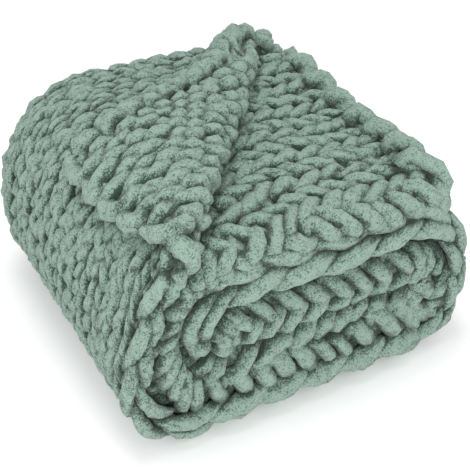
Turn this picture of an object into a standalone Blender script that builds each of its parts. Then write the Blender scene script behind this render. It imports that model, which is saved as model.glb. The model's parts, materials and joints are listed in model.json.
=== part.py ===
"""A chunky knit blanket, put away folded: in three across its width, then in three along its length,
with the free front corner of the top layer turned back over it. The cloth is one knitted piece, so
the blanket is one solid. Metres, +Z up. The front is -Y and the free ends of the top layers face +X.

The cloth is first folded across, in a flat "pack" of three layers. A place in the pack has
  along   metres along the outer layer's middle, from the free end
  y       metres across the pack, from the front edge
  level   layers from the pack's middle: -1, 0 and 1 are the inner, middle and outer layer
The pack is then folded along: it runs left over the top, down round the left end, right along the
floor, up round the right end and back to the left in between.
"""

import math

import bmesh
import bpy
import numpy as np

# Cloth
LAYER = 0.033  # room that one layer takes in the pack
CLOTH = 0.030  # thickness of the knitted cloth
EDGE_SHARE = 0.55  # of that thickness left at the rounded rim
EDGE_WIDTH = 0.010

# Folds across the width
OUTER_FRONT = -0.008  # front selvedge of the outer layer
BACK_TURN = 0.392  # where the back fold begins
BACK_FOLD = 0.034  # how far the middle of the cloth stands out there
FRONT_TURN = 0.024  # where the front fold begins
FRONT_FOLD = 0.017
INNER_EDGE = 0.398  # hidden selvedge of the middle layer

# Ends of each stretch of the pack's fold along its length, as its outer and its inner face pass them.
# turn: "run" is straight, "leave" a quarter turn that starts level, "reach" one that ends level.
PATH = (
    # turn, outer x, outer z, inner x, inner z, steps
    ("run", 0.399, 0.273, 0.399, 0.213, 0),  # free end, top right
    ("run", 0.085, 0.290, 0.085, 0.213, 0),
    ("leave", -0.040, 0.112, 0.033, 0.160, 10),  # left end
    ("reach", 0.040, 0.000, 0.085, 0.106, 5),
    ("run", 0.342, 0.000, 0.345, 0.106, 4),  # along the floor
    ("leave", 0.437, 0.085, 0.347, 0.108, 4),  # right end
    ("reach", 0.340, 0.212, 0.345, 0.110, 6),
    ("run", 0.100, 0.210, 0.105, 0.110, 4),
    ("leave", 0.047, 0.160, 0.095, 0.118, 3),  # inner end, curled down
    ("run", 0.056, 0.126, 0.094, 0.121, 1),
)

# Turned-back corner of the outer layer, in the pack
FREE_FRONT = 0.137  # the outer layer's free end falls this far short of the others at the front
FREE_BACK = 0.000  # and this far at the back
FREE_BOW = 2.2  # power of the curve between them
CREASE_FRONT = (0.390, OUTER_FRONT)  # the crease runs between these places (along, y)
CREASE_BACK = (0.090, 0.380)
CREASE_RADIUS = 0.0185
CORNER_RISE = 0.024  # the corner stands off where the bundle turns down under it
CORNER_FROM, CORNER_FULL = 0.34, 0.45  # along the pack
FLAP_STEPS, CREASE_STEPS = 3, 6  # grid lines on the turned part and round the crease
LEAST_TURNED, MOST_BENT = 0.030, 0.7  # where little is turned, and the share of it that bends
PLAIN_END = 0.24  # on the layers that stay flat, as many lines lie within this length
PLAIN_CROWD = 1.5  # power by which they crowd towards the free edge

# Rope-like free edge of the middle layer
CURL_RISE = 0.26  # in layers
CURL_WIDTH = 0.026

# Grid of the cloth across its width: how many steps for each stretch
OUTER_STEPS, BACK_STEPS, INNER_STEPS, FRONT_STEPS, MIDDLE_STEPS = 12, 6, 8, 6, 8

# Slumps of the whole bundle
SLUMP_FLOOR = 0.05  # below this height it lies flat
SLUMP_TOP = 0.22
HOLLOWS = (
    # x, y, depth, spread x, spread y
    (0.400, 0.200, 0.012, 0.120, 0.100),
    (0.230, 0.020, 0.004, 0.100, 0.060),
    (0.150, 0.430, 0.006, 0.160, 0.080),
    (0.290, 0.370, -0.004, 0.070, 0.070),
    (0.325, 0.430, 0.014, 0.060, 0.045),
    (0.030, 0.430, 0.008, 0.090, 0.100),
    (0.080, 0.180, -0.005, 0.080, 0.090),
)
SHOULDER_IN = 0.014  # the left shoulder is drawn in at the front
SHOULDER_DEEP, SHOULDER_WIDE = 0.16, 0.09  # as far as this from the front and from the left
SHOULDER_HEIGHT, SHOULDER_TALL = 0.19, 0.06
FINENESS = 50  # samples of each stretch of the path when its length is measured

SAGE = (0.222, 0.347, 0.270, 1.0)
ROUGHNESS = 0.95


def smooth_step(share):
    share = np.clip(share, 0.0, 1.0)
    return share * share * (3.0 - 2.0 * share)


def ends_of(stretch):
    """The outer and the inner face's place at the start and the end of this stretch of the path."""
    before, after = PATH[stretch], PATH[stretch + 1]
    return np.array(before[1:5]), np.array(after[1:5])


def faces_at(station):
    """(outer x, outer z, inner x, inner z) at stations counted in stretches of the path."""
    station = np.clip(np.asarray(station, float), 0.0, len(PATH) - 1.0)
    found = np.empty(station.shape + (4,))
    for stretch in range(len(PATH) - 1):
        here = (station >= stretch) & (station <= stretch + 1)
        share = station[here] - stretch
        start, end = ends_of(stretch)
        turn = PATH[stretch + 1][0]
        quick = np.sin(share * math.pi / 2)
        slow = 1.0 - np.cos(share * math.pi / 2)
        sideways = {"run": share, "leave": quick, "reach": slow}[turn]
        upright = {"run": share, "leave": slow, "reach": quick}[turn]
        part = np.stack([sideways, upright, sideways, upright], axis=-1)
        found[here] = start + (end - start) * part
    return found


def middle_of(station, level):
    """x and z of a level of the pack at these stations."""
    faces = faces_at(station)
    out = ((np.asarray(level) + 1.5) / 3.0)[..., None]
    return faces[..., 2:] + (faces[..., :2] - faces[..., 2:]) * out


STATIONS = np.linspace(0.0, len(PATH) - 1.0, FINENESS * (len(PATH) - 1) + 1)
STEPS_ALONG = np.diff(middle_of(STATIONS, np.ones_like(STATIONS)), axis=0)
LENGTHS = np.concatenate([[0.0], np.cumsum(np.hypot(STEPS_ALONG[:, 0], STEPS_ALONG[:, 1]))])


def station_of(along):
    return np.interp(along, LENGTHS, STATIONS)


def along_of(station):
    return np.interp(station, STATIONS, LENGTHS)


def slumped(points):
    """The bundle's own sags and swellings. The floor stays flat."""
    x, y, z = points.T.copy()
    raised = smooth_step((z - SLUMP_FLOOR) / (SLUMP_TOP - SLUMP_FLOOR))
    for at_x, at_y, depth, spread_x, spread_y in HOLLOWS:
        dip = np.exp(-(((x - at_x) / spread_x) ** 2) - ((y - at_y) / spread_y) ** 2)
        z = z - depth * dip * raised
    left = smooth_step(1.0 - (x - PATH[2][1]) / SHOULDER_WIDE) * smooth_step(1.0 - y / SHOULDER_DEEP)
    high = np.exp(-(((z - SHOULDER_HEIGHT) / SHOULDER_TALL) ** 2))
    return np.stack([x + SHOULDER_IN * left * high, y, z], axis=-1)


def bundle(pack):
    """Folds places in the pack (along, y, level x LAYER) along the path, to x, y and z."""
    along, y, height = pack.T
    section = middle_of(station_of(along), height / LAYER)
    return slumped(np.stack([section[:, 0], y, section[:, 1]], axis=-1))


def across():
    """The cloth's y and level from the outer selvedge to the hidden one, the rims set in a little."""
    rows = [(OUTER_FRONT, 1.0)]
    for share in np.linspace(0, 1, OUTER_STEPS + 1)[:-1]:
        start = OUTER_FRONT + EDGE_WIDTH
        rows.append((start + (BACK_TURN - start) * share, 1.0))
    for turn in np.linspace(0, math.pi, BACK_STEPS + 1):
        rows.append((BACK_TURN + BACK_FOLD * math.sin(turn), math.cos(turn)))
    for share in np.linspace(0, 1, INNER_STEPS + 1)[1:-1]:
        rows.append((BACK_TURN + (FRONT_TURN - BACK_TURN) * share, -1.0))
    for turn in np.linspace(0, math.pi, FRONT_STEPS + 1):
        rows.append((FRONT_TURN - FRONT_FOLD * math.sin(turn), -0.5 - 0.5 * math.cos(turn)))
    for share in np.linspace(0, 1, MIDDLE_STEPS + 1)[1:]:
        end = INNER_EDGE - EDGE_WIDTH
        rows.append((FRONT_TURN + (end - FRONT_TURN) * share, 0.0))
    rows.append((INNER_EDGE, 0.0))
    return rows


def crease_at(y):
    """How far along the pack the crease lies at this y."""
    (front, y_front), (back, y_back) = CREASE_FRONT, CREASE_BACK
    return front + (back - front) * (y - y_front) / (y_back - y_front)


CREASE_RUN = np.subtract(CREASE_BACK, CREASE_FRONT)
CREASE_NORMAL = np.array([-CREASE_RUN[1], CREASE_RUN[0]]) / np.hypot(*CREASE_RUN)  # to the free side


def free_end(y):
    return FREE_FRONT + (FREE_BACK - FREE_FRONT) * min(max(y / BACK_TURN, 0.0), 1.0) ** FREE_BOW


def lines_along(y, level):
    """Where the grid's lines cross the cloth at this y and level: along the pack, from the free end."""
    flap_lines = FLAP_STEPS + CREASE_STEPS
    nose = along_of(2)
    lean = abs(CREASE_NORMAL[0])
    reach = max((crease_at(y) - free_end(y)) * lean, LEAST_TURNED)
    bend = min(math.pi * CREASE_RADIUS, MOST_BENT * reach)
    outer = [reach - (reach - bend) * k / FLAP_STEPS for k in range(FLAP_STEPS)]
    outer += [bend * (1 - k / CREASE_STEPS) for k in range(CREASE_STEPS + 1)]
    first = free_end(y)
    outer = [first + (reach - gone) / lean for gone in outer]
    plain = list(PLAIN_END * np.linspace(0.0, 1.0, flap_lines + 1) ** PLAIN_CROWD)
    share = float(smooth_step((level + 1) / 2)) if y > BACK_TURN else float(level > 0.5)
    lines = [flat + (turned - flat) * share for flat, turned in zip(plain, outer)]
    steps = PATH[2][5]
    lines += [lines[-1] + (nose - lines[-1]) * k / steps for k in range(1, steps + 1)]
    for stretch in range(2, len(PATH) - 1):
        steps = PATH[stretch + 1][5]
        lines += [float(along_of(stretch + k / steps)) for k in range(1, steps + 1)]
    return lines


def turned_back(pack):
    """Bends the outer layer's free corner up and over its crease."""
    offset = pack[:, :2] - np.array(CREASE_FRONT)
    past = offset @ CREASE_NORMAL
    past = past * smooth_step(pack[:, 2] / LAYER)
    angle = np.clip(past / CREASE_RADIUS, 0.0, math.pi)
    over = np.maximum(past - math.pi * CREASE_RADIUS, 0.0)
    moved = CREASE_RADIUS * np.sin(angle) - over - np.maximum(past, 0.0)
    lift = CREASE_RADIUS * (1.0 - np.cos(angle))
    bent = pack.copy()
    bent[:, :2] += moved[:, None] * CREASE_NORMAL
    corner = smooth_step((bent[:, 0] - CORNER_FROM) / (CORNER_FULL - CORNER_FROM))
    bent[:, 2] += lift + CORNER_RISE * corner * smooth_step(over / CREASE_RADIUS)
    return bent


def curled(pack):
    """Raises the rope-like free edge of the middle layer."""
    middle = np.exp(-((pack[:, 2] / (0.5 * LAYER)) ** 2))
    rise = CURL_RISE * LAYER * np.exp(-((pack[:, 0] / CURL_WIDTH) ** 2))
    bent = pack.copy()
    bent[:, 2] += rise * middle
    return bent


def cloth_in_pack():
    """The cloth as an open grid, folded in three across, with its corner turned back."""
    rows = across()
    columns = [lines_along(y, level) for y, level in rows]
    count = len(columns[0])
    bm = bmesh.new()
    bmesh.ops.create_grid(bm, x_segments=count - 1, y_segments=len(rows) - 1, size=0.5)
    pack = []
    rim = []
    for vert in bm.verts:
        i = round((vert.co.x + 0.5) * (count - 1))
        j = round((vert.co.y + 0.5) * (len(rows) - 1))
        pack.append((columns[j][i], rows[j][0], rows[j][1] * LAYER))
        if i in (0, count - 1) or j in (0, len(rows) - 1):
            rim.append(vert.index)
    pack = turned_back(curled(np.array(pack)))
    for vert, place in zip(bm.verts, pack):
        vert.co = place
    mesh = bpy.data.meshes.new("cloth in the pack")
    bm.to_mesh(mesh)
    bm.free()
    return mesh, rim


def thickened(mesh, rim):
    """The closed solid that Solidify makes of the open cloth, thinner at its rim."""
    obj = bpy.data.objects.new("open cloth", mesh)
    bpy.context.scene.collection.objects.link(obj)
    body = obj.vertex_groups.new(name="body")
    body.add(range(len(mesh.vertices)), 1.0, "REPLACE")
    body.add(rim, EDGE_SHARE, "REPLACE")
    solidify = obj.modifiers.new("Thickness", "SOLIDIFY")
    solidify.thickness = CLOTH
    solidify.offset = 0.0
    solidify.vertex_group = body.name
    graph = bpy.context.evaluated_depsgraph_get()
    solid = bpy.data.meshes.new_from_object(obj.evaluated_get(graph))
    bpy.data.objects.remove(obj)
    return solid


def fold_along(mesh):
    """Folds the thick pack along its path and stands it on the floor, its middle over the origin."""
    count = len(mesh.vertices)
    pack = np.empty(count * 3)
    mesh.vertices.foreach_get("co", pack)
    points = bundle(pack.reshape(count, 3))
    low, high = points.min(axis=0), points.max(axis=0)
    points -= ((low[0] + high[0]) / 2, (low[1] + high[1]) / 2, low[2])
    mesh.vertices.foreach_set("co", points.ravel())
    bm = bmesh.new()
    bm.from_mesh(mesh)
    bmesh.ops.recalc_face_normals(bm, faces=bm.faces)
    bmesh.ops.triangulate(bm, faces=bm.faces)
    bm.to_mesh(mesh)
    bm.free()


def chenille():
    material = bpy.data.materials.new("Sage chenille yarn")
    material.use_nodes = True
    shader = material.node_tree.nodes["Principled BSDF"]
    shader.inputs["Base Color"].default_value = SAGE
    shader.inputs["Roughness"].default_value = ROUGHNESS
    shader.inputs["Metallic"].default_value = 0.0
    material.diffuse_color = SAGE
    return material


def main():
    for obj in list(bpy.data.objects):
        bpy.data.objects.remove(obj)
    collection = bpy.data.collections.new("Chunky knit blanket")
    bpy.context.scene.collection.children.link(collection)
    open_cloth, rim = cloth_in_pack()
    mesh = thickened(open_cloth, rim)
    fold_along(mesh)
    mesh.name = "blanket"
    mesh.materials.clear()
    mesh.materials.append(chenille())
    blanket = bpy.data.objects.new("blanket", mesh)
    collection.objects.link(blanket)
    mesh.shade_smooth()
    mesh.set_sharp_from_angle(angle=math.radians(50))


main()
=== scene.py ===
"""Dresses the folded chunky knit blanket: every row of fluffy yarn is knitted round the folds of the
cloth, over a thin dark sheet that follows them, painted shade for the holes between the stitches.
Metres, +Z up, the front towards -Y.

The cloth is one piece, folded in three across its width and then in three along its length. A place
on it has
  wale    stitches across, from the outer selvedge to the hidden one
  course  rows along, from the free end at the top to the end inside the bundle
or across and down, the same as shares of the width and of the length.

Folded across its width alone, the cloth is called the pack. It has three layers, told by their level:
1 for the outer one, -1 for the inner one and 0 for the one between them. The bundle is the pack
folded along its path.
"""

import json
import math
from collections import namedtuple

import bmesh
import bpy
import numpy as np
from bpy.props import FloatProperty, FloatVectorProperty, PointerProperty
from mathutils import Matrix, Vector
from mathutils.kdtree import KDTree

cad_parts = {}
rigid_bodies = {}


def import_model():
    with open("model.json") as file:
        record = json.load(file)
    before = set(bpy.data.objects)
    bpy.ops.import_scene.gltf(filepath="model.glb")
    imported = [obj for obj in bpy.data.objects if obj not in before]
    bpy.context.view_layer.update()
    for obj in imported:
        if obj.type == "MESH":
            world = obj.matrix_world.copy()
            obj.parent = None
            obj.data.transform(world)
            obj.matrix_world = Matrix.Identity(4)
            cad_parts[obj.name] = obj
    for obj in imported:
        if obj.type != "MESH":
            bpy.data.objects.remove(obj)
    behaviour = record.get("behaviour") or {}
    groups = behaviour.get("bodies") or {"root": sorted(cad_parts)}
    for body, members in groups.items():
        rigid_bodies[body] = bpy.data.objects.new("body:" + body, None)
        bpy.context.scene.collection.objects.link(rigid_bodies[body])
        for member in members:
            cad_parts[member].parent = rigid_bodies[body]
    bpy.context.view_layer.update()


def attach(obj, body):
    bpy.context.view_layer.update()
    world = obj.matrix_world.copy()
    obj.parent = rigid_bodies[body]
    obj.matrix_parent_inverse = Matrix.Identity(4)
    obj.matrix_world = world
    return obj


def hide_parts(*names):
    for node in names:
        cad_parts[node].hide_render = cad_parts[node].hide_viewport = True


bl_info = {
    "name": "Chunky knit blanket",
    "version": (1, 0, 0),
    "blender": (4, 5, 0),
    "location": "View3D > Sidebar > Blanket",
    "description": "Knits a folded blanket of thick chenille yarn over its packed solid",
    "category": "Object",
}

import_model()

# Stitches of the whole cloth
WALES, COURSES = 36, 49
FIRST_ROW = 1.25  # middle of the first row, in rows from the cast-off edge
ROWS_AND_CASTS = COURSES + 1.5  # length of the cloth with its cast edges, in rows

# The folds across the width, from the front selvedge of the outer layer
LAYER = 0.033
OUTER_FRONT = -0.008
BACK_TURN, BACK_FOLD = 0.392, 0.034
FRONT_TURN, FRONT_FOLD = 0.024, 0.017
INNER_EDGE = 0.398
TURN_STEPS = 33
FOLD_STRETCH = 0.60  # share of its length that the knitting takes at the front fold, where it is pulled

# The fold along the length: the pack's outer and inner faces, from the free end. A run is straight, a
# leave turns off sideways into upright, and a reach turns from upright into sideways.
PATH = (
    # turn, outer x, outer z, inner x, inner z
    ("run", 0.399, 0.273, 0.399, 0.213),
    ("run", 0.085, 0.290, 0.085, 0.213),
    ("leave", -0.040, 0.112, 0.033, 0.160),
    ("reach", 0.040, 0.000, 0.085, 0.106),
    ("run", 0.342, 0.000, 0.345, 0.106),
    ("leave", 0.437, 0.085, 0.347, 0.108),
    ("reach", 0.340, 0.212, 0.345, 0.110),
    ("run", 0.100, 0.210, 0.105, 0.110),
    ("leave", 0.047, 0.160, 0.095, 0.118),
    ("run", 0.056, 0.126, 0.094, 0.121),
)
FINENESS = 50  # stations in each stretch of the path
EVEN_RUNS = 0.85  # how far the inner layers' rows keep step with the outer layer's on the straight runs
ORIGIN = (0.1985, 0.2150, 0.0018)  # the middle of the bundle's foot, from its front left corner

# The outer layer's free end: how far it stands back at the front and the back, how it bows, and the
# share of the length over which its rows straighten out
FREE_FRONT, FREE_BACK, FREE_BOW = 0.120, 0.000, 2.2
FREE_FADE = 0.42

# The turned-back corner: its tip drawn off the end and in from the side, its side bowed out between
# tip and crease, the crease itself, its lifted front, and its back drawn on along the pack
TIP_OUT, TIP_IN, TIP_SPREAD = 0.004, 0.018, 0.11
BELLY_OUT, BELLY_AT, BELLY_LONG, BELLY_WIDE = 0.011, 0.260, 0.080, 0.12
CREASE_FRONT, CREASE_BACK, CREASE_RADIUS = (0.390, OUTER_FRONT), (0.090, 0.380), 0.0185
CORNER_RISE, CORNER_FROM, CORNER_FULL = 0.024, 0.34, 0.45
PEAK_ON, PEAK_FROM, PEAK_WIDE, PEAK_LONG = 0.020, 0.300, 0.090, 0.160

# The middle layer: its front corner drawn in, and its free edge raised
ROUND_IN, ROUND_SPREAD, ROUND_LONG = 0.006, 0.035, 0.13
CURL_RISE, CURL_WIDTH = 0.26, 0.026

# How the bundle slumps: more the higher it is, in these hollows and at the left end's front
SLUMP_FLOOR, SLUMP_TOP = 0.05, 0.22
HOLLOWS = (
    # x, y, depth, spread x, spread y
    (0.400, 0.200, 0.012, 0.120, 0.100),
    (0.230, 0.020, 0.004, 0.100, 0.060),
    (0.150, 0.430, 0.006, 0.160, 0.080),
    (0.290, 0.370, -0.004, 0.070, 0.070),
    (0.325, 0.430, 0.014, 0.060, 0.045),
    (0.030, 0.430, 0.008, 0.090, 0.100),
    (0.080, 0.180, -0.005, 0.080, 0.090),
)
SHOULDER_IN, SHOULDER_DEEP, SHOULDER_WIDE = 0.014, 0.16, 0.09
SHOULDER_HEIGHT, SHOULDER_TALL = 0.19, 0.06

# The front fold, by share of the length
DRIFT = (
    # share, how far the stitches are shifted over the fold, in wales
    (0.0, 0.25),
    (0.13, 0.25),
    (0.175, 0.75),
    (0.25, 0.75),
    (0.42, 0.3),
    (0.62, 0.3),
    (0.72, 0.1),
    (1.0, 0.1),
)
DRIFT_FROM, DRIFT_FADE = 0.35, 0.2  # where the shift starts, across
SWELL = (
    # share, how far the fold swells up and down, as a share of its height
    (0.0, 0.1),
    (0.2, 0.1),
    (0.27, 0.0),
    (0.34, 0.2),
    (0.40, 0.6),
    (0.70, 0.6),
    (0.75, 0.1),
    (1.0, 0.1),
)
SWELL_WIDE = 0.045
FOLD_YARN = (
    # share, how much thicker the yarn is
    (0.0, 0.14),
    (0.09, 0.12),
    (0.13, -0.06),
    (0.41, -0.08),
    (0.47, 0.30),
    (0.62, 0.30),
    (0.66, 0.0),
    (0.72, 0.06),
    (0.90, 0.06),
    (0.96, -0.10),
    (1.0, -0.10),
)
FOLD_WALES = 1.1  # how far beside the middle of the fold this reaches

# Stitches that differ from place to place: where, then what they add to a loop's lean, depth, reach
# or yarn, as shares
FOLD_LEAN, FOLD_DEPTH, FOLD_REACH = 0.45, 0.3, 0.5
TOP_WALE, TOP_WALES, TOP_COURSE, TOP_COURSES = 26.5, 1.5, 12.0, 3.0
TOP_DEPTH, TOP_YARN = -0.25, 0.08
TAUT_WALE, TAUT_WALES, TAUT_START, TAUT_END, TAUT_FADE = 4.5, 3.0, 0.16, 0.44, 0.05
TAUT_REACH, TAUT_YARN = 0.5, -0.12
PURL_FADE = 0.03
PURL_LEAN, PURL_DEPTH, PURL_BUMP, PURL_ARM = 0.35, 0.4, 0.20, -0.04
UNEVEN_WALE, UNEVEN_COURSE = 0.11, 0.16  # in stitches and in rows
UNEVEN_HEIGHT, UNEVEN_YARN = 0.002, 0.09  # in metres, and as a share of the yarn
NECK_YARN, ARM_YARN = 0.95, 0.09  # of the yarn's thickness at a loop's neck, and what its arms add

# The links of the selvedges' chains, and each link's two arms
CHAIN = np.array((
    # share of the length, then as shares the links' length, lean and yarn, the degrees off the cloth
    # between their arms, and how far the links are pushed outwards
    (0.00, 0.70, 1.00, 0.95, 40.0, 0.000),
    (0.15, 0.70, 1.00, 0.95, 40.0, 0.000),
    (0.22, 1.20, 0.95, 0.68, 80.0, 0.000),
    (0.37, 1.20, 0.95, 0.68, 80.0, 0.000),
    (0.41, 1.10, 0.90, 0.78, 70.0, -0.007),
    (0.46, 0.90, 1.00, 1.08, 48.0, -0.012),
    (0.60, 0.90, 1.00, 1.08, 48.0, -0.010),
    (0.64, 1.00, 0.60, 0.70, 80.0, -0.004),
    (0.69, 1.00, 0.60, 0.70, 80.0, -0.012),
    (0.72, 1.00, 0.60, 0.70, 80.0, -0.006),
    (0.78, 0.95, 1.00, 0.95, 60.0, 0.018),
    (0.92, 0.95, 1.00, 0.95, 60.0, 0.018),
    (0.96, 1.00, 1.15, 0.72, 85.0, 0.012),
    (1.00, 1.00, 1.15, 0.72, 85.0, 0.012),
))
CHAIN_STEPS = 400  # places at which the links' length is read
LINK_START, LINK_STAGGER, LINK_LONG = -0.18, 0.15, 1.40  # of an arm, in links
LINK_SHUT, LINK_OPEN, LINK_OPEN_BY = 0.25, 0.85, 0.85  # how far apart the arms are, by share of an arm
LINK_SINK, LINK_SWING = 0.55, 2.0  # how an arm dips at its ends and rises in between
LINK_TIP, LINK_BELLY, LINK_ROUND = 0.52, 0.52, 0.7  # how thick an arm is at its ends and in between
LINK_UNEVEN_OPEN, LINK_UNEVEN_RISE, LINK_UNEVEN_YARN = 0.12, 0.0015, 0.06  # as shares, the rise in metres
LINK_NOISE = 12  # values of noise across a chain

# The yarn round the cast edges: its thickness, how it swells at each turn, and how unevenly it lies
ROPE_YARN, ROPE_SWELL = 0.96, 0.06
ROPE_UNEVEN_TURN, ROPE_UNEVEN_YARN = 0.35, 0.05
ROPE_NOISE = (90, 8)  # values of noise along a cast edge and across it

# Meshes
STEPS_SEEN, STEPS_HIDDEN = 18, 12  # points a stitch along the yarn
RING_SEEN, RING_HIDDEN = 3, 1  # bevel resolutions: 10 and 6 sides
STEPS_LINK = 13  # points an arm
STEP_ROPE = 0.0030  # metres between the points of a cast edge
TAPER_RADIUS, TAPER_LENGTH = 1e-5, 0.45  # at a yarn's end, the length as a share of its last step
WELD = 0.0001  # metres within which the points of a mesh are merged
FLOOR_GAP = 0.0004  # metres between the floor and the yarn that lies on it
NORMAL_STEP = 0.0015  # share of the cloth, to either side, that gives its slope
NOOK_REACHES = ((0.006, 0.5), (0.014, 0.5))  # metres off the surface, and the share each adds to the painted shade in the nooks
GROUND_ACROSS, GROUND_DOWN, GROUND_MARGIN = 4, 3, 0.014  # squares a stitch, and share left free at the edges
SEED = 11


# The folds of the cloth


def smooth_step(share):
    share = np.clip(share, 0.0, 1.0)
    return share * share * (3.0 - 2.0 * share)


def gentle_bump(share):
    """1 at 0, falling to nothing on both sides."""
    return np.exp(-(share**2))


def table_at(table, share):
    """The value of a two-column table at this share of the length."""
    return np.interp(share, *np.transpose(table))


def faces_at(station):
    """Outer x, outer z, inner x and inner z of the pack at stations counted in stretches of the path."""
    station = np.clip(np.asarray(station, float), 0.0, len(PATH) - 1.0)
    found = np.empty(station.shape + (4,))
    for stretch in range(len(PATH) - 1):
        here = (station >= stretch) & (station <= stretch + 1)
        share = station[here] - stretch
        start, end = np.array(PATH[stretch][1:]), np.array(PATH[stretch + 1][1:])
        turn = PATH[stretch + 1][0]
        quick = np.sin(share * math.pi / 2)
        slow = 1.0 - np.cos(share * math.pi / 2)
        sideways = {"run": share, "leave": quick, "reach": slow}[turn]
        upright = {"run": share, "leave": slow, "reach": quick}[turn]
        part = np.stack([sideways, upright, sideways, upright], axis=-1)
        found[here] = start + (end - start) * part
    return found


def middle_of(station, level):
    """x and z of the middle of a layer; between the three layers its level is a fraction."""
    faces = faces_at(station)
    out = ((np.asarray(level) + 1.5) / 3.0)[..., None]
    return faces[..., 2:] + (faces[..., :2] - faces[..., 2:]) * out


STATIONS = np.linspace(0.0, len(PATH) - 1.0, FINENESS * (len(PATH) - 1) + 1)


def lengths_at(level):
    """How far each station is along this level, from the free end."""
    steps = np.diff(middle_of(STATIONS, np.full(STATIONS.shape, float(level))), axis=0)
    return np.concatenate([[0.0], np.cumsum(np.hypot(steps[:, 0], steps[:, 1]))])


LENGTHS = {level: lengths_at(level) for level in (-1, 0, 1)}
WHOLE = LENGTHS[1][-1]  # of the outer layer, which measures the others


def slumped(points):
    """Sinks the hollows and draws in the left end's front, as the weight of the cloth does."""
    x, y, z = points.T.copy()
    raised = smooth_step((z - SLUMP_FLOOR) / (SLUMP_TOP - SLUMP_FLOOR))
    for at_x, at_y, depth, spread_x, spread_y in HOLLOWS:
        dip = gentle_bump((x - at_x) / spread_x) * gentle_bump((y - at_y) / spread_y)
        z = z - depth * dip * raised
    left = smooth_step(1.0 - (x - PATH[2][1]) / SHOULDER_WIDE) * smooth_step(1.0 - y / SHOULDER_DEEP)
    high = gentle_bump((z - SHOULDER_HEIGHT) / SHOULDER_TALL)
    return np.stack([x + SHOULDER_IN * left * high, y, z], axis=-1)


def bundle(pack):
    """Folds places in the pack (along, y, height) along its path and stands them on the floor."""
    along, y, height = pack.T
    station = np.interp(along, LENGTHS[1], STATIONS)
    section = middle_of(station, height / LAYER)
    section[:, 0] += np.maximum(-along, 0.0)
    section[:, 1] -= np.maximum(along - WHOLE, 0.0)
    return slumped(np.stack([section[:, 0], y, section[:, 1]], axis=-1)) - ORIGIN


def free_end(y):
    """How far the outer layer's end stands back from the bundle's right end."""
    return FREE_FRONT + (FREE_BACK - FREE_FRONT) * np.clip(y / BACK_TURN, 0.0, 1.0) ** FREE_BOW


CREASE_RUN = np.subtract(CREASE_BACK, CREASE_FRONT)
CREASE_NORMAL = np.array([-CREASE_RUN[1], CREASE_RUN[0]]) / np.hypot(*CREASE_RUN)


def turned_back(pack):
    """Bends the outer layer's free corner up and over its crease."""
    offset = pack[:, :2] - np.array(CREASE_FRONT)
    past = (offset @ CREASE_NORMAL) * smooth_step(pack[:, 2] / LAYER)
    angle = np.clip(past / CREASE_RADIUS, 0.0, math.pi)
    over = np.maximum(past - math.pi * CREASE_RADIUS, 0.0)
    moved = CREASE_RADIUS * np.sin(angle) - over - np.maximum(past, 0.0)
    bent = pack.copy()
    bent[:, :2] += moved[:, None] * CREASE_NORMAL
    corner = smooth_step((bent[:, 0] - CORNER_FROM) / (CORNER_FULL - CORNER_FROM))
    lift = CREASE_RADIUS * (1.0 - np.cos(angle))
    bent[:, 2] += lift + CORNER_RISE * corner * smooth_step(over / CREASE_RADIUS)
    peak = smooth_step((bent[:, 1] - PEAK_FROM) / PEAK_WIDE) * smooth_step(pack[:, 2] / LAYER)
    bent[:, 0] += PEAK_ON * peak * gentle_bump(bent[:, 0] / PEAK_LONG)
    return bent


def curled(pack):
    """Raises the rope-like free edge of the middle layer."""
    middle = gentle_bump(pack[:, 2] / (0.5 * LAYER))
    bent = pack.copy()
    bent[:, 2] += CURL_RISE * LAYER * gentle_bump(pack[:, 0] / CURL_WIDTH) * middle
    return bent


def width_table():
    """Share of the cloth's width, y and level at places from the outer selvedge to the hidden one."""
    turn = np.linspace(0, math.pi, TURN_STEPS)
    back = BACK_TURN + BACK_FOLD * np.sin(turn)
    front = FRONT_TURN - FRONT_FOLD * np.sin(turn)
    y = np.concatenate([[OUTER_FRONT], back, front, [INNER_EDGE]])
    level = np.concatenate([[1.0], np.cos(turn), -0.5 - 0.5 * np.cos(turn), [0.0]])
    steps = np.hypot(np.diff(y), LAYER * np.diff(level))
    steps[TURN_STEPS + 1 : 2 * TURN_STEPS + 1] *= FOLD_STRETCH
    share = np.concatenate([[0.0], np.cumsum(steps)])
    return share / share[-1], y, level


WIDTH_SHARE, WIDTH_Y, WIDTH_LEVEL = width_table()
FOLD_SHARE = float(WIDTH_SHARE[1 + TURN_STEPS + TURN_STEPS // 2])  # the middle of the front fold


def along_pack(share, level):
    """How far along the pack this share of a layer's length is."""
    along = np.zeros_like(share)
    for here in (-1, 0, 1):
        weight = np.clip(1.0 - np.abs(np.clip(level, -1.0, 1.0) - here), 0.0, 1.0)
        own = np.interp(share * LENGTHS[here][-1], LENGTHS[here], STATIONS)
        station = own + EVEN_RUNS * (np.interp(share * WHOLE, LENGTHS[1], STATIONS) - own)
        along += weight * np.interp(station, STATIONS, LENGTHS[1])
    return along


def drawn_corners(along, y, level, share):
    """Draws the tip and the side of the outer layer's front corner, and the middle layer's front corner."""
    tip = gentle_bump(np.hypot(along - FREE_FRONT, y - OUTER_FRONT) / TIP_SPREAD) * smooth_step(level)
    belly = smooth_step(level) * gentle_bump((along - BELLY_AT) / BELLY_LONG)
    belly = belly * smooth_step(1.0 - (y - OUTER_FRONT) / BELLY_WIDE)
    corner = gentle_bump((y - FRONT_TURN + FRONT_FOLD) / ROUND_SPREAD) * smooth_step(1.0 - level)
    along = along + ROUND_IN * corner * (1.0 - smooth_step(share / ROUND_LONG)) - TIP_OUT * tip
    return along, y + TIP_IN * tip - BELLY_OUT * belly


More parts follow.
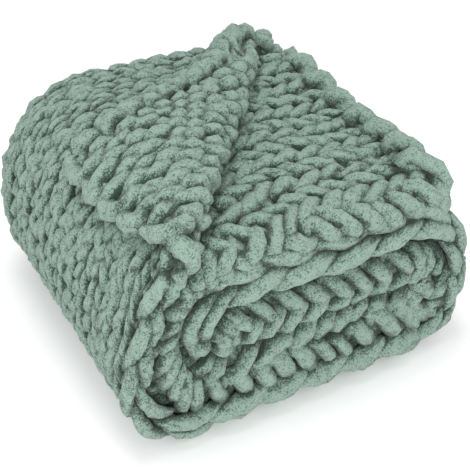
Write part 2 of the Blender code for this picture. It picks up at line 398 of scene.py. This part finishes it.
def flat_cloth(across, down):
    """Places in the pack of shares of the cloth's width and length, before anything is turned or curled."""
    share = np.clip(down, 0.0, 1.0)
    drift = table_at(DRIFT, share) / WALES * smooth_step((across - DRIFT_FROM) / DRIFT_FADE)
    y = np.interp(across - drift, WIDTH_SHARE, WIDTH_Y)
    level = np.interp(across - drift, WIDTH_SHARE, WIDTH_LEVEL)
    swell = table_at(SWELL, share) * smooth_step((FRONT_TURN + SWELL_WIDE - y) / SWELL_WIDE)
    level = level + swell * (level + 0.5) * (across > 0.5)
    outer = smooth_step((level + 1) / 2) * (y > BACK_TURN) + (level > 0.5) * (y <= BACK_TURN)
    along = along_pack(share, level)
    along += outer * free_end(y) * (1.0 - smooth_step(share / FREE_FADE))
    along += (down - share) * WHOLE
    along, y = drawn_corners(along, y, level, share)
    return np.stack([along, y, level * LAYER], axis=-1)


def cloth(across, down):
    """Places in the pack of shares of the cloth's width and length."""
    return turned_back(curled(flat_cloth(across, down)))


def knitted(across, down, height):
    """World places that stand this far off the cloth's middle, on its knit side."""
    place = cloth(across, down)
    one = cloth(across + NORMAL_STEP, down) - cloth(across - NORMAL_STEP, down)
    other = cloth(across, down + NORMAL_STEP) - cloth(across, down - NORMAL_STEP)
    normal = np.cross(other, one)
    length = np.linalg.norm(normal, axis=1, keepdims=True)
    normal = normal / np.maximum(length, 1e-12)
    return bundle(place + normal * height[:, None])


# Yarn


class Wander:
    """Seeded noise over the cloth, one value a stitch, smooth in between."""

    def __init__(self, seed, wales, courses):
        self.values = np.random.default_rng(seed).normal(size=(wales + 4, courses + 4))

    def __call__(self, wale, course):
        last_wale, last_course = (size - 1.001 for size in self.values.shape)
        wale = np.clip(wale + 1.5, 0, last_wale)
        course = np.clip(course + 1.5, 0, last_course)
        stitch, row = wale.astype(int), course.astype(int)
        aside, onward = smooth_step(wale - stitch), smooth_step(course - row)
        values = self.values
        before = values[stitch, row] * (1 - aside) + values[stitch + 1, row] * aside
        after = values[stitch, row + 1] * (1 - aside) + values[stitch + 1, row + 1] * aside
        return before * (1 - onward) + after * onward


def at_fold(wale, course):
    """1 at the middle of the front fold, where the stitches open, falling to 0 beside it."""
    middle = FOLD_SHARE * WALES + table_at(DRIFT, course / COURSES)
    return gentle_bump((wale - middle) / FOLD_WALES)


def on_top(wale, course):
    """1 on the top of the middle layer."""
    beside_fold = smooth_step((wale - TOP_WALE) / TOP_WALES)
    return beside_fold * (1.0 - smooth_step((course - TOP_COURSE) / TOP_COURSES))


def taut(wale, course):
    """1 beside the outer selvedge round the left end, where the stitches are drawn long."""
    share = course / COURSES
    rounding = smooth_step((share - TAUT_START) / TAUT_FADE) * smooth_step((TAUT_END - share) / TAUT_FADE)
    return smooth_step((TAUT_WALE - wale) / TAUT_WALES) * rounding


def on_flap(wale, course):
    """1 on the turned-back corner, which shows its purl side, with its rounder bumps."""
    place = flat_cloth(wale / WALES, (course + FIRST_ROW) / ROWS_AND_CASTS)
    past = (place[:, :2] - np.array(CREASE_FRONT)) @ CREASE_NORMAL
    return smooth_step(past / PURL_FADE) * smooth_step(place[:, 2] / LAYER)


def row_of_loops(course, start, end, steps, s):
    """The yarn's centre line along one row, from wale start to wale end: points and radii."""
    count = max(int(round((end - start) * steps)), 2)
    turn = np.linspace(start, end, count + 1)
    phase = turn * 2 * math.pi
    at = course + 0 * turn
    aside, onward, raised, thicker = (Wander(SEED + k, 3 * WALES, COURSES) for k in range(4))
    pulled, purl, fold, top = taut(turn, at), on_flap(turn, at), at_fold(turn, at), on_top(turn, at)
    lean = s.lean / s.pitch * (1.0 + FOLD_LEAN * fold + PURL_LEAN * purl)
    wale = turn + lean * np.sin(2 * phase) + s.uneven * UNEVEN_WALE * aside(turn * 2, at)
    swell = table_at(SWELL, at / COURSES) * fold
    reach = s.reach / s.row * (1.0 + TAUT_REACH * pulled + FOLD_REACH * swell)
    place = course + FIRST_ROW - reach * np.cos(phase) + s.uneven * UNEVEN_COURSE * onward(turn * 2, at)
    arm = -np.cos(2 * phase)
    depth = s.depth * (1.0 + PURL_DEPTH * purl + FOLD_DEPTH * fold + TOP_DEPTH * top)
    height = depth * arm + s.uneven * UNEVEN_HEIGHT * raised(turn * 3, at)
    points = knitted(wale / WALES, place / ROWS_AND_CASTS, height)
    uneven = s.uneven * UNEVEN_YARN * thicker(turn * 3, at)
    radius = s.yarn / 2 * (NECK_YARN + ARM_YARN * np.abs(arm) + uneven)
    radius = radius * (1.0 + TOP_YARN * top + table_at(FOLD_YARN, at / COURSES) * fold)
    bumps = PURL_BUMP * np.cos(phase) ** 4 + PURL_ARM
    return points, radius * (1.0 + TAUT_YARN * pulled + purl * bumps)


def rope(edge, s):
    """The yarn that winds round a cast edge of the cloth, as one strand in a list."""
    long, deep = WALES * s.pitch, COURSES * s.row
    run = np.linspace(edge.start, edge.end, int(round((edge.end - edge.start) * long / STEP_ROPE)))
    wander = Wander(SEED + 7, *ROPE_NOISE)
    turn = run * long / (edge.span * s.pitch)
    phase = 2 * math.pi * turn + s.uneven * ROPE_UNEVEN_TURN * wander(2 * turn, 0 * turn)
    aside = edge.at + edge.lean * np.cos(phase) / deep
    points = knitted(run, aside, edge.rise + edge.spread * np.sin(phase))
    uneven = s.uneven * ROPE_UNEVEN_YARN * wander(2.3 * turn, 3 + 0 * turn)
    return [(points, edge.yarn / 2 * (ROPE_YARN + ROPE_SWELL * np.sin(phase) + uneven))]


def chain_at(share):
    """The links' length, lean, yarn, tilt and push at this share of the length, as CHAIN gives them."""
    return [np.interp(share, CHAIN[:, 0], column) for column in CHAIN.T[1:]]


def links_of(edge, s):
    """Where the links of a chain begin and the last one ends, in metres along the selvedge."""
    length = COURSES * s.row
    run = np.linspace(edge.start, edge.end, CHAIN_STEPS)
    counted = np.cumsum(1.0 / chain_at(run)[0])
    links = int(round((counted[-1] - counted[0]) * (run[1] - run[0]) * length / (edge.span * s.row)))
    return np.interp(np.linspace(counted[0], counted[-1], links + 1), counted, run) * length


def arm_of_link(edge, begins, index, side, wander, s):
    """The yarn's centre line along one arm, on side -1 or 1 of its link: points and radii."""
    length, width = COURSES * s.row, WALES * s.pitch
    link = begins[index + 1] - begins[index]
    share = np.linspace(0.0, 1.0, STEPS_LINK)
    arch = np.sin(math.pi * share)
    at, kind = index + 0 * share, (side + 1) * 1.5 + 0 * share
    run = begins[index] + (LINK_START + LINK_STAGGER * side + LINK_LONG * share) * link
    _, lean, yarn, tilt, pushed = chain_at(run / length)
    tilt = np.radians(tilt)
    opened = LINK_SHUT + LINK_OPEN * smooth_step(share / LINK_OPEN_BY)
    opened = opened + s.uneven * LINK_UNEVEN_OPEN * wander(at, kind)
    apart = side * edge.lean * lean * opened
    bulge = edge.spread * (arch - LINK_SINK) * LINK_SWING
    bulge = bulge + s.uneven * LINK_UNEVEN_RISE * wander(at, kind + 1)
    aside = apart * np.cos(tilt) - bulge * np.sin(tilt)
    height = apart * np.sin(tilt) + bulge * np.cos(tilt)
    points = knitted(edge.at + aside / width, run / length, edge.rise + height + pushed * edge.push)
    radius = edge.yarn * yarn / 2 * (LINK_TIP + LINK_BELLY * arch**LINK_ROUND)
    return points, radius * (1.0 + s.uneven * LINK_UNEVEN_YARN * wander(at, kind + 4))


def chain(edge, s):
    """Long links along a selvedge, two arms each. An arm rises from inside the link before and dips
    behind the next."""
    begins = links_of(edge, s)
    wander = Wander(SEED + 9, len(begins) + 3, LINK_NOISE)
    arms = [(index, side) for index in range(len(begins) - 1) for side in (-1, 1)]
    return [arm_of_link(edge, begins, index, side, wander, s) for index, side in arms]


def tubes(name, strands, ring):
    """One mesh of round yarns swept along these strands, each (points, radii), tapered shut at the ends."""
    curve = bpy.data.curves.new(name, "CURVE")
    curve.dimensions = "3D"
    curve.bevel_depth = 1.0
    curve.bevel_resolution = ring
    curve.twist_mode = "MINIMUM"
    for points, radius in strands:
        ends = np.concatenate([points[:1], points, points[-1:]])
        radii = np.concatenate([[TAPER_RADIUS], radius, [TAPER_RADIUS]])
        ends[0] += (points[0] - points[1]) * TAPER_LENGTH
        ends[-1] += (points[-1] - points[-2]) * TAPER_LENGTH
        spline = curve.splines.new("POLY")
        spline.points.add(len(ends) - 1)
        spline.points.foreach_set("co", np.column_stack([ends, np.ones(len(ends))]).ravel())
        spline.points.foreach_set("radius", radii)
    holder = bpy.data.objects.new(name, curve)
    bpy.context.scene.collection.objects.link(holder)
    graph = bpy.context.evaluated_depsgraph_get()
    mesh = bpy.data.meshes.new_from_object(holder.evaluated_get(graph))
    bpy.data.objects.remove(holder)
    bpy.data.curves.remove(curve)
    return mesh


def surface_of(mesh):
    """The places and normals of a mesh's vertices, one a row."""
    place, normal = np.empty(len(mesh.vertices) * 3), np.empty(len(mesh.vertices) * 3)
    mesh.vertices.foreach_get("co", place)
    mesh.vertex_normals.foreach_get("vector", normal)
    return place.reshape(-1, 3), normal.reshape(-1, 3)


def nooks(strands, meshes):
    """Marks how shut in the pile is, for the painted shade in the nooks between the yarns: the nearest
    yarn is looked for a little way off each part of a surface."""
    points = np.concatenate([strand[0] for strand in strands])
    tree = KDTree(len(points))
    for index, point in enumerate(points):
        tree.insert(point, index)
    tree.balance()
    half = float(np.mean(np.concatenate([strand[1] for strand in strands])))
    for mesh in meshes:
        place, normal = surface_of(mesh)
        shut = np.zeros(len(place))
        for reach, share in NOOK_REACHES:
            near = np.array([tree.find(point)[2] for point in place + normal * reach])
            shut += share * (1.0 - np.clip((near - half) / reach, 0.0, 1.0))
        attribute = mesh.attributes.get("nook") or mesh.attributes.new("nook", "FLOAT", "POINT")
        attribute.data.foreach_set("value", shut.astype(np.float32))


def settled(mesh, fluff):
    """Closes the yarn ends, roughens the pile a little and presses the yarn flat where it meets the
    floor."""
    bm = bmesh.new()
    bm.from_mesh(mesh)
    bmesh.ops.remove_doubles(bm, verts=bm.verts, dist=WELD)
    bmesh.ops.recalc_face_normals(bm, faces=bm.faces)
    bm.to_mesh(mesh)
    bm.free()
    place, normal = surface_of(mesh)
    rng = np.random.default_rng(SEED + len(place))
    place = place + normal * rng.normal(size=(len(place), 1)) * fluff
    place[:, 2] = np.maximum(place[:, 2], FLOOR_GAP)
    mesh.vertices.foreach_set("co", place.ravel())
    mesh.shade_smooth()
    return mesh


def piece(name, mesh, material):
    """Puts this mesh in the scene as a piece on the root body, in place of one of the same name."""
    old = bpy.data.objects.get(name)
    if old is not None:
        bpy.data.objects.remove(old)
    mesh.name = name
    mesh.materials.clear()
    mesh.materials.append(material)
    obj = bpy.data.objects.new(name, mesh)
    bpy.context.scene.collection.objects.link(obj)
    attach(obj, "root")
    return obj


# Materials

TUFT_HEIGHT = 2.6  # of the tufts, with the fibre ends as 1
# The pile's mottle between lit and shaded colours: partly random tone, partly painted shade of the fibres
TUFT_TONE = 0.40
# Painted shade in the nooks: how it varies from patch to patch, how it flecks the pile, how it deepens
PATCH_SPREAD, PATCH_LEAST = 2.0, 0.25
NOOK_FLECKS, NOOK_POWER = 0.42, 1.5
LIT_FROM, LIT_TO = 0.38, 0.765
FIBRE_DETAIL, TUFT_DETAIL, PATCH_DETAIL = 2.0, 1.0, 0.0
PILE_ROUGHNESS, PILE_SPECULAR = 0.95, 0.15
SHEEN_ROUGHNESS, SHEEN_TINT = 0.55, (0.80, 0.92, 0.85)
SHEET_PAINTED_SHADE = 0.45  # painted shade: how dark the sheet under the stitches is made, with the rows as 1


def new_group(name, inputs, outputs):
    """The node group of this name, and whether its nodes were there already."""
    old = bpy.data.node_groups.get(name)
    if old is not None:
        return old, True
    group = bpy.data.node_groups.new(name, "ShaderNodeTree")
    for title, kind, default in inputs:
        socket = group.interface.new_socket(title, in_out="INPUT", socket_type=kind)
        if default is not None:
            socket.default_value = default
    for title, kind in outputs:
        group.interface.new_socket(title, in_out="OUTPUT", socket_type=kind)
    return group, False


def maths(nodes, links, operation, *inputs):
    """A maths node fed with these numbers and sockets; returns its output."""
    node = nodes.new("ShaderNodeMath")
    node.operation = operation
    for socket, value in zip(node.inputs, inputs):
        if isinstance(value, bpy.types.NodeSocket):
            links.new(value, socket)
        else:
            socket.default_value = value
    return node.outputs[0]


def noise(nodes, links, place, size, detail):
    """Noise in blotches of this size; returns its output."""
    node = nodes.new("ShaderNodeTexNoise")
    node.inputs["Detail"].default_value = detail
    links.new(place, node.inputs["Vector"])
    links.new(maths(nodes, links, "DIVIDE", 1.0, size), node.inputs["Scale"])
    return node.outputs["Fac"]


def pile_group():
    """Short cut pile: the share of it painted lit rather than shaded, its height for the bump, and how
    dark the painted shade in its nooks is."""
    group, made = new_group(
        "Chenille pile",
        (
            ("Fibre size", "NodeSocketFloat", 0.002),
            ("Tuft size", "NodeSocketFloat", 0.007),
            ("Patch size", "NodeSocketFloat", 0.030),
            ("Nook", "NodeSocketFloat", 0.5),
        ),
        (("Lit", "NodeSocketFloat"), ("Height", "NodeSocketFloat"), ("Dark", "NodeSocketFloat")),
    )
    if made:
        return group
    nodes, links = group.nodes, group.links
    source, sink = nodes.new("NodeGroupInput"), nodes.new("NodeGroupOutput")
    place = nodes.new("ShaderNodeTexCoord").outputs["Object"]
    fibre = noise(nodes, links, place, source.outputs["Fibre size"], FIBRE_DETAIL)
    tuft = noise(nodes, links, place, source.outputs["Tuft size"], TUFT_DETAIL)
    patch = noise(nodes, links, place, source.outputs["Patch size"], PATCH_DETAIL)
    links.new(maths(nodes, links, "MULTIPLY_ADD", tuft, TUFT_HEIGHT, fibre), sink.inputs["Height"])
    # Painted shade in the nooks, darker in some patches than in others
    uneven = maths(nodes, links, "MULTIPLY", patch, PATCH_SPREAD)
    uneven = maths(nodes, links, "MAXIMUM", uneven, PATCH_LEAST)
    dark = maths(nodes, links, "MULTIPLY", source.outputs["Nook"], uneven)
    links.new(maths(nodes, links, "POWER", dark, NOOK_POWER), sink.inputs["Dark"])
    # The lit share: random tone of fibres and tufts, less where painted shade flecks the nooks
    tone = maths(nodes, links, "MULTIPLY_ADD", tuft, TUFT_TONE, fibre)
    tone = maths(nodes, links, "MULTIPLY_ADD", dark, -NOOK_FLECKS, tone)
    lit = nodes.new("ShaderNodeMapRange")
    lit.interpolation_type = "SMOOTHSTEP"
    lit.inputs["From Min"].default_value = LIT_FROM
    lit.inputs["From Max"].default_value = LIT_TO
    links.new(tone, lit.inputs["Value"])
    links.new(lit.outputs["Result"], sink.inputs["Lit"])
    return group


def colour_mix(nodes, links, factor, blend, first, second):
    """A colour mix node fed with these colours and sockets; returns its output."""
    node = nodes.new("ShaderNodeMix")
    node.data_type = "RGBA"
    node.blend_type = blend
    links.new(factor, node.inputs["Factor"])
    for title, colour in (("A", first), ("B", second)):
        if isinstance(colour, bpy.types.NodeSocket):
            links.new(colour, node.inputs[title])
        else:
            node.inputs[title].default_value = (*colour, 1.0)
    return node.outputs["Result"]


def yarn_material(name, s, deep):
    """Chenille pile, with painted shade in its nooks; deep darkens all of it as painted shade, with 1 for
    the yarn as it is.
    """
    material = bpy.data.materials.get(name) or bpy.data.materials.new(name)
    material.use_nodes = True
    nodes, links = material.node_tree.nodes, material.node_tree.links
    nodes.clear()
    output = nodes.new("ShaderNodeOutputMaterial")
    shader = nodes.new("ShaderNodeBsdfPrincipled")
    links.new(shader.outputs["BSDF"], output.inputs["Surface"])
    nook = nodes.new("ShaderNodeAttribute")
    nook.attribute_name = "nook"
    pile = nodes.new("ShaderNodeGroup")
    pile.node_tree = pile_group()
    pile.inputs["Tuft size"].default_value = s.tuft
    pile.inputs["Fibre size"].default_value = s.fibre
    pile.inputs["Patch size"].default_value = s.patch
    links.new(nook.outputs["Fac"], pile.inputs["Nook"])
    lit, shadow = ([c * deep for c in colour] for colour in (s.yarn_colour, s.shadow_colour))
    # The pile mottled between its lit colour and its painted shade colour
    lit_and_shaded_mottle = colour_mix(nodes, links, pile.outputs["Lit"], "MIX", shadow, lit)
    # The painted shade of the nooks multiplied into the mottled pile
    pile_with_painted_shade = colour_mix(nodes, links, pile.outputs["Dark"], "MULTIPLY", lit_and_shaded_mottle, s.painted_nook_shade)
    links.new(pile_with_painted_shade, shader.inputs["Base Color"])
    bump = nodes.new("ShaderNodeBump")
    bump.inputs["Strength"].default_value = s.pile_bump
    bump.inputs["Distance"].default_value = s.pile_height
    links.new(pile.outputs["Height"], bump.inputs["Height"])
    links.new(bump.outputs["Normal"], shader.inputs["Normal"])
    shader.inputs["Roughness"].default_value = PILE_ROUGHNESS
    shader.inputs["Specular IOR Level"].default_value = PILE_SPECULAR
    shader.inputs["Sheen Weight"].default_value = s.sheen
    shader.inputs["Sheen Roughness"].default_value = SHEEN_ROUGHNESS
    shader.inputs["Sheen Tint"].default_value = (*SHEEN_TINT, 1.0)
    material.diffuse_color = (*s.yarn_colour, 1.0)
    return material


# What a user may change


def length_setting(name, description, default):
    return FloatProperty(name=name, description=description, default=default, unit="LENGTH", precision=4)


def share_setting(name, description, default):
    return FloatProperty(name=name, description=description, default=default, subtype="FACTOR", max=1.0)


def light_setting(name, description, default, **kind):
    return FloatProperty(name=name, description=description, default=default, min=0.0, **kind)


def colour_setting(name, description, default):
    limits = {"subtype": "COLOR", "min": 0.0, "max": 1.0}
    return FloatVectorProperty(name=name, description=description, default=default, **limits)


class BlanketSettings(bpy.types.PropertyGroup):
    """The stitches, the yarn and its colours"""

    pitch: length_setting("Stitch width", "Width of one stitch along a row", 0.0365)
    row: length_setting("Row height", "Height of one row of stitches", 0.0312)
    yarn: length_setting("Yarn", "Diameter of the yarn", 0.0185)
    lean: length_setting("Lean", "How far a loop closes at its neck", 0.0085)
    reach: length_setting("Reach", "Half the height of a loop", 0.024)
    depth: length_setting("Depth", "How far the arms stand off the middle of the cloth", 0.007)
    uneven: share_setting("Unevenness", "How much the stitches differ", 1.0)
    fluff: length_setting("Fluff", "Unevenness of the pile", 0.0009)
    tuft: length_setting("Tufts", "Size of the tufts of pile", 0.0075)
    fibre: length_setting("Fibres", "Size of the fibre ends", 0.0018)
    # Patches in which the painted shade of the nooks is darker
    patch: length_setting("Patches", "Size of the patches where nooks are darker", 0.030)
    pile_bump: share_setting("Pile bump", "Strength of the pile's bump", 0.8)
    pile_height: length_setting("Pile height", "Height of the pile's bump", 0.0038)
    sheen: share_setting("Sheen", "Soft light on the rim of the pile", 0.35)
    # Painted shade: the tint multiplied into the pile where two yarns meet
    painted_nook_shade: colour_setting("Painted nook shade", "Painted shade on the pile where two yarns meet", (0.50, 0.58, 0.54))
    # The dark sheet under the stitches is painted shade for the holes between them
    ground: length_setting("Ground", "Thickness of the ground cloth", 0.003)
    # The pile's lit colour, and its painted shade colour between the tufts
    yarn_colour: colour_setting("Yarn colour", "Colour of the lit pile", (0.270, 0.388, 0.325))
    shadow_colour: colour_setting("Shadow colour", "Colour between the tufts", (0.040, 0.072, 0.055))


class StageSettings(bpy.types.PropertyGroup):
    """The floor and the light"""

    floor_colour: colour_setting("Floor", "Colour of the floor", (0.98, 0.98, 0.98))
    sky: light_setting("Fill light", "Strength of the light from all round", 0.78)
    lamp: light_setting("Key lamp", "Power of the soft lamp at the front left", 34.0, subtype="POWER")
    top_lamp: light_setting("Overhead lamp", "Power of the soft lamp above", 14.5, subtype="POWER")


# Pieces

# The rows are in bands, so that no piece is too large: by where the outer layer lies
BANDS = (
    # name, first row, last row + 1
    ("rows_top", 0, 12),
    ("rows_left_end", 12, 20),
    ("rows_floor", 20, 30),
    ("rows_right_end", 30, 39),
    ("rows_inside", 39, 49),
)
# The same rows' yarn under the outer layer, in a plainer mesh
INNER_BANDS = (
    # name, first row, last row + 1
    ("inner_rows_free", 0, 25),
    ("inner_rows_end", 25, 49),
)
TURNED_ROWS = 9  # rows whose outer end is on the turned-back corner
TURNED_START, START = 0.35, 0.8  # wale at which a row starts, there and elsewhere
OUTER_END, MIDDLE_START, MIDDLE_END = 15.2, 22.6, 35.6  # wales between which a row shows or doesn't
INNER_START, INNER_END = 15.0, 22.8  # a little more than the gap, so that the yarns overlap

# The four edges, each with the function that works it. at is across the edge, and start to end run along
# it, as shares of the cloth. span is how many rows a link takes, or how many stitches a turn of the rope.
# spread, lean, yarn and rise are metres. push is how much of CHAIN's last column is used.
Edge = namedtuple("Edge", "name work at start end span spread lean yarn rise push")
EDGES = (
    Edge("edge_outer_selvedge", chain, 0.010, 0.012, 0.990, 2, 0.0065, 0.0140, 0.0255, 0.000, 1.0),
    Edge("edge_hidden_selvedge", chain, 0.993, 0.012, 0.990, 2, 0.0060, -0.0100, 0.0200, 0.000, 0.0),
    Edge("edge_cast_off", rope, 0.007, 0.004, 0.998, 1, 0.0080, -0.0095, 0.0230, 0.004, 0.0),
    Edge("edge_cast_on", rope, 0.990, 0.002, 0.998, 1, 0.0085, -0.0095, 0.0200, 0.000, 0.0),
)


def seen(row):
    """The wales of a row that show: the outer layer with the back fold, and the front fold with the
    middle layer."""
    start = TURNED_START if row < TURNED_ROWS else START
    return (start, OUTER_END), (MIDDLE_START, MIDDLE_END)


def hidden(row):
    """The wales of a row that lie under the outer layer."""
    return ((INNER_START, INNER_END),)


def seen_and_hidden(row):
    """All the wales of a row, in stretches that overlap a little."""
    return seen(row) + hidden(row)


def rows_between(first, last, wales_of, steps, s):
    """The strands of these rows, over the stretches of wales that wales_of gives for each."""
    rows = range(first, last)
    return [row_of_loops(row, start, end, steps, s) for row in rows for start, end in wales_of(row)]


class OBJECT_OT_blanket_rows(bpy.types.Operator):
    """Knits the rows of thick yarn, in bands along the cloth"""

    bl_idname = "object.blanket_rows"
    bl_label = "Knitted rows"

    def execute(self, context):
        s = context.scene.blanket
        material = yarn_material("Chenille yarn", s, 1.0)
        for name, first, last in BANDS:
            rows = rows_between(first, last, seen, STEPS_SEEN, s)
            piece(name, settled(tubes(name, rows, RING_SEEN), s.fluff), material)
        for name, first, last in INNER_BANDS:
            rows = rows_between(first, last, hidden, STEPS_HIDDEN, s)
            piece(name, settled(tubes(name, rows, RING_HIDDEN), s.fluff), material)
        return {"FINISHED"}


class OBJECT_OT_blanket_edges(bpy.types.Operator):
    """Works the chain selvedges, the cast-off braid at the free end and the cast-on edge"""

    bl_idname = "object.blanket_edges"
    bl_label = "Edges"

    def execute(self, context):
        s = context.scene.blanket
        material = yarn_material("Chenille yarn", s, 1.0)
        for edge in EDGES:
            strands = edge.work(edge, s)
            piece(edge.name, settled(tubes(edge.name, strands, RING_SEEN), s.fluff), material)
        return {"FINISHED"}


class OBJECT_OT_blanket_nooks(bpy.types.Operator):
    """Paints shade on the pile where the yarns crowd together"""

    bl_idname = "object.blanket_nooks"
    bl_label = "Nooks"

    def execute(self, context):
        s = context.scene.blanket
        rows = rows_between(0, COURSES, seen_and_hidden, STEPS_HIDDEN, s)
        ropes = [strand for edge in EDGES for strand in edge.work(edge, s)]
        names = [band[0] for band in BANDS] + [edge.name for edge in EDGES]
        nooks(rows + ropes, [bpy.data.objects[name].data for name in names])
        return {"FINISHED"}


def ground_mesh(thickness):
    """A closed sheet of this thickness, folded as the cloth is."""
    bm = bmesh.new()
    bmesh.ops.create_grid(bm, x_segments=GROUND_ACROSS * WALES, y_segments=GROUND_DOWN * COURSES, size=0.5)
    shares = np.array([vert.co[:2] for vert in bm.verts]) + 0.5
    across, down = (GROUND_MARGIN + (1.0 - 2.0 * GROUND_MARGIN) * shares).T
    for vert, place in zip(bm.verts, knitted(across, down, np.zeros(len(across)))):
        vert.co = place
    bmesh.ops.solidify(bm, geom=bm.faces, thickness=thickness)
    bmesh.ops.recalc_face_normals(bm, faces=bm.faces)
    mesh = bpy.data.meshes.new("ground_cloth")
    bm.to_mesh(mesh)
    bm.free()
    mesh.shade_smooth()
    return mesh


class OBJECT_OT_blanket_ground(bpy.types.Operator):
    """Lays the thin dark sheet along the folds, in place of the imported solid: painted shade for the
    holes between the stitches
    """

    bl_idname = "object.blanket_ground"
    bl_label = "Shade sheet"

    def execute(self, context):
        s = context.scene.blanket
        mesh = ground_mesh(s.ground)
        ground = piece("ground_cloth", mesh, yarn_material("Yarn in the depth", s, SHEET_PAINTED_SHADE))
        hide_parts("blanket")
        rows = [o for o in bpy.data.objects if o.name.startswith(("rows_", "inner_rows_", "edge_"))]
        for obj in rows:
            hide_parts("blanket")
        return {"FINISHED"}


# Stage

FLOOR_HALF, FLOOR_ROUGHNESS = 6.0, 0.8
LIT_POINT = (0.0, 0.0, 0.15)
KEY_LAMP_AT, KEY_LAMP_SIZE = (-1.05, -2.0, 1.5), 0.9
TOP_LAMP_AT, TOP_LAMP_SIZE = (-0.2, 0.0, 2.3), 1.0
CAMERA_AT = (-0.5205, -0.9830, 0.9200)
CAMERA_FORWARD = (0.386267, 0.706939, -0.592483)
CAMERA_RIGHT = (0.8776, -0.4795, 0.0)
CAMERA_LENS, CAMERA_SENSOR = 80.04, 36.0
CAMERA_NEAR, CAMERA_FAR = 0.05, 60.0


def add_floor(scene, s):
    """A wide pale floor, which is stage and no part of the blanket."""
    bm = bmesh.new()
    bmesh.ops.create_grid(bm, x_segments=1, y_segments=1, size=FLOOR_HALF)
    mesh = bpy.data.meshes.new("floor")
    bm.to_mesh(mesh)
    bm.free()
    floor = bpy.data.objects.new("floor", mesh)
    scene.collection.objects.link(floor)
    paint = bpy.data.materials.new("Pale floor")
    paint.use_nodes = True
    shader = paint.node_tree.nodes["Principled BSDF"]
    shader.inputs["Base Color"].default_value = (*s.floor_colour, 1.0)
    shader.inputs["Roughness"].default_value = FLOOR_ROUGHNESS
    mesh.materials.append(paint)


def add_sky(scene, s):
    """Even light from all round."""
    world = bpy.data.worlds.new("Soft light")
    world.use_nodes = True
    sky = world.node_tree.nodes["Background"]
    sky.inputs["Color"].default_value = (1.0, 1.0, 1.0, 1.0)
    sky.inputs["Strength"].default_value = s.sky
    scene.world = world


def add_lamp(scene, name, place, width, power):
    """A soft round lamp, aimed at the middle of the blanket."""
    lamp = bpy.data.lights.new(name, "AREA")
    lamp.shape = "DISK"
    lamp.size = width
    lamp.energy = power
    holder = bpy.data.objects.new(name, lamp)
    holder.location = place
    aim = Vector(LIT_POINT) - holder.location
    holder.rotation_euler = aim.to_track_quat("-Z", "Y").to_euler()
    scene.collection.objects.link(holder)


def add_camera(scene):
    """The camera, upright, with the lens that shows the bundle from its front left."""
    camera = bpy.data.cameras.new("Camera")
    camera.lens = CAMERA_LENS
    camera.sensor_width = CAMERA_SENSOR
    camera.clip_start, camera.clip_end = CAMERA_NEAR, CAMERA_FAR
    view = bpy.data.objects.new("Camera", camera)
    forward, right = Vector(CAMERA_FORWARD).normalized(), Vector(CAMERA_RIGHT).normalized()
    turn = Matrix((right, right.cross(forward), -forward)).transposed()
    view.matrix_world = Matrix.Translation(CAMERA_AT) @ turn.to_4x4()
    scene.collection.objects.link(view)
    scene.camera = view


class OBJECT_OT_blanket_stage(bpy.types.Operator):
    """Sets up the pale floor, the soft light and the camera"""

    bl_idname = "object.blanket_stage"
    bl_label = "Stage"

    def execute(self, context):
        s = context.scene.blanket_stage
        scene = context.scene
        add_floor(scene, s)
        add_sky(scene, s)
        add_lamp(scene, "Key lamp", KEY_LAMP_AT, KEY_LAMP_SIZE, s.lamp)
        add_lamp(scene, "Overhead lamp", TOP_LAMP_AT, TOP_LAMP_SIZE, s.top_lamp)
        add_camera(scene)
        scene.view_settings.view_transform = "Standard"
        return {"FINISHED"}


# The add-on


class VIEW3D_PT_blanket(bpy.types.Panel):
    bl_label = "Chunky knit blanket"
    bl_space_type = "VIEW_3D"
    bl_region_type = "UI"
    bl_category = "Blanket"

    def draw(self, context):
        for group in (context.scene.blanket, context.scene.blanket_stage):
            for name in group.bl_rna.properties.keys():
                if name not in ("rna_type", "name"):
                    self.layout.prop(group, name)
        for operator in OPERATORS:
            self.layout.operator(operator.bl_idname)


OPERATORS = (
    OBJECT_OT_blanket_rows,
    OBJECT_OT_blanket_edges,
    OBJECT_OT_blanket_nooks,
    OBJECT_OT_blanket_ground,
    OBJECT_OT_blanket_stage,
)
CLASSES = (BlanketSettings, StageSettings, *OPERATORS, VIEW3D_PT_blanket)


def register():
    """Makes the classes and their settings known to Blender."""
    for each in CLASSES:
        bpy.utils.register_class(each)
    bpy.types.Scene.blanket = PointerProperty(type=BlanketSettings)
    bpy.types.Scene.blanket_stage = PointerProperty(type=StageSettings)


def unregister():
    del bpy.types.Scene.blanket_stage
    del bpy.types.Scene.blanket
    for each in reversed(CLASSES):
        bpy.utils.unregister_class(each)


def main():
    register()
    bpy.ops.object.blanket_rows()
    bpy.ops.object.blanket_edges()
    bpy.ops.object.blanket_nooks()
    bpy.ops.object.blanket_ground()
    bpy.ops.object.blanket_stage()


if __name__ == "__main__":
    main()
